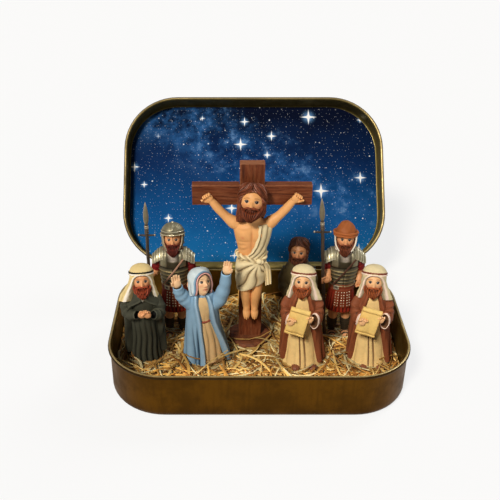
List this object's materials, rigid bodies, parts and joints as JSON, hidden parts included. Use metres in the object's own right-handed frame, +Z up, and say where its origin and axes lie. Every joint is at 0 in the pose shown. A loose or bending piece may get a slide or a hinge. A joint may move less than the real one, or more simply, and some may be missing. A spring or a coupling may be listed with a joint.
{
  "type": "pocket tin diorama",
  "caption": "Open hinged metal tin with a starry card in its lid and a bed of straw in its tray, holding a crucifix and small standing figures that lift out.",
  "frame": {"origin": "middle of the tray's flat underside", "axes": "+Z up out of the tray, -Y towards the front that the figures face, +X to the right seen from the front"},
  "size_m": [0.1, 0.1134, 0.0706],
  "materials": {
    "tin": "aged brass lacquer on tinplate, satin",
    "pin_wire": "bare wire",
    "sky_card": "printed card, semi-gloss",
    "straw": "dry straw",
    "wood": "stained, worn edges",
    "skin": "painted resin",
    "dark_skin": "painted resin",
    "beard": "painted resin",
    "hair": "painted resin",
    "cream_gown": "painted resin",
    "pale_cloth": "painted resin",
    "brown_cloth": "painted resin",
    "charcoal_cloth": "painted resin",
    "blue_cloth": "painted resin",
    "red_cloth": "painted resin",
    "olive_cloth": "painted resin",
    "armour": "metallic painted resin",
    "cap": "painted resin",
    "parchment": "painted resin",
    "spear_iron": "dark wire"
  },
  "bodies": {
    "tray": {"tray_shell": "tin", "straw_bed": "straw", "hinge_pin_left": "pin_wire", "hinge_pin_right": "pin_wire"},
    "lid": {"lid_shell": "tin", "backdrop_card": "sky_card"},
    "crucifix": {"cross_base": "wood", "cross_upright": "wood", "cross_beam": "wood", "corpus_body": "skin", "corpus_head": "skin", "corpus_hair": "hair", "corpus_wrap": "pale_cloth"},
    "shepherd": {"shepherd_head": "skin", "shepherd_beard": "beard", "shepherd_gown": "charcoal_cloth", "shepherd_cloak": "charcoal_cloth", "shepherd_headcloth": "pale_cloth", "shepherd_hands": "skin"},
    "woman": {"woman_head": "skin", "woman_gown": "cream_gown", "woman_mantle": "blue_cloth", "woman_veil": "blue_cloth", "woman_hand_left": "skin", "woman_hand_right": "skin"},
    "bearer_left": {"bearer_left_head": "skin", "bearer_left_beard": "beard", "bearer_left_gown": "cream_gown", "bearer_left_mantle": "brown_cloth", "bearer_left_headcloth": "pale_cloth", "bearer_left_scroll": "parchment"},
    "bearer_right": {"bearer_right_head": "skin", "bearer_right_beard": "beard", "bearer_right_gown": "cream_gown", "bearer_right_mantle": "brown_cloth", "bearer_right_headcloth": "pale_cloth", "bearer_right_scroll": "parchment"},
    "bystander": {"bystander_robe": "olive_cloth", "bystander_head": "dark_skin", "bystander_hair": "hair"},
    "soldier_left": {"soldier_left_legs": "skin", "soldier_left_tunic": "red_cloth", "soldier_left_armour": "armour", "soldier_left_arm": "skin", "soldier_left_spear": "spear_iron", "soldier_left_head": "skin", "soldier_left_beard": "beard", "soldier_left_helmet": "armour"},
    "soldier_right": {"soldier_right_legs": "skin", "soldier_right_tunic": "red_cloth", "soldier_right_armour": "armour", "soldier_right_arm": "skin", "soldier_right_spear": "spear_iron", "soldier_right_head": "skin", "soldier_right_beard": "beard", "soldier_right_helmet": "cap"}
  },
  "joints": [
    {"name": "lid_hinge", "type": "hinge", "parent": "tray", "child": "lid", "pos_m": [0, 0.0342, 0.0156], "axis": [1, 0, 0], "range_deg": [0, 69]},
    {"name": "crucifix_lift", "type": "slide", "parent": "tray", "child": "crucifix", "axis": [0, 0, 1], "range_m": [0, 0.08]},
    {"name": "shepherd_lift", "type": "slide", "parent": "tray", "child": "shepherd", "axis": [0, 0, 1], "range_m": [0, 0.08]},
    {"name": "woman_lift", "type": "slide", "parent": "tray", "child": "woman", "axis": [0, -0.2079, 0.9781], "range_m": [0, 0.08]},
    {"name": "bearer_left_lift", "type": "slide", "parent": "tray", "child": "bearer_left", "axis": [0, 0, 1], "range_m": [0, 0.08]},
    {"name": "bearer_right_lift", "type": "slide", "parent": "tray", "child": "bearer_right", "axis": [0, 0, 1], "range_m": [0, 0.08]},
    {"name": "bystander_lift", "type": "slide", "parent": "tray", "child": "bystander", "axis": [0, 0, 1], "range_m": [0, 0.08]},
    {"name": "soldier_left_lift", "type": "slide", "parent": "tray", "child": "soldier_left", "axis": [0, 0, 1], "range_m": [0, 0.08]},
    {"name": "soldier_right_lift", "type": "slide", "parent": "tray", "child": "soldier_right", "axis": [0, 0, 1], "range_m": [0, 0.08]}
  ]
}
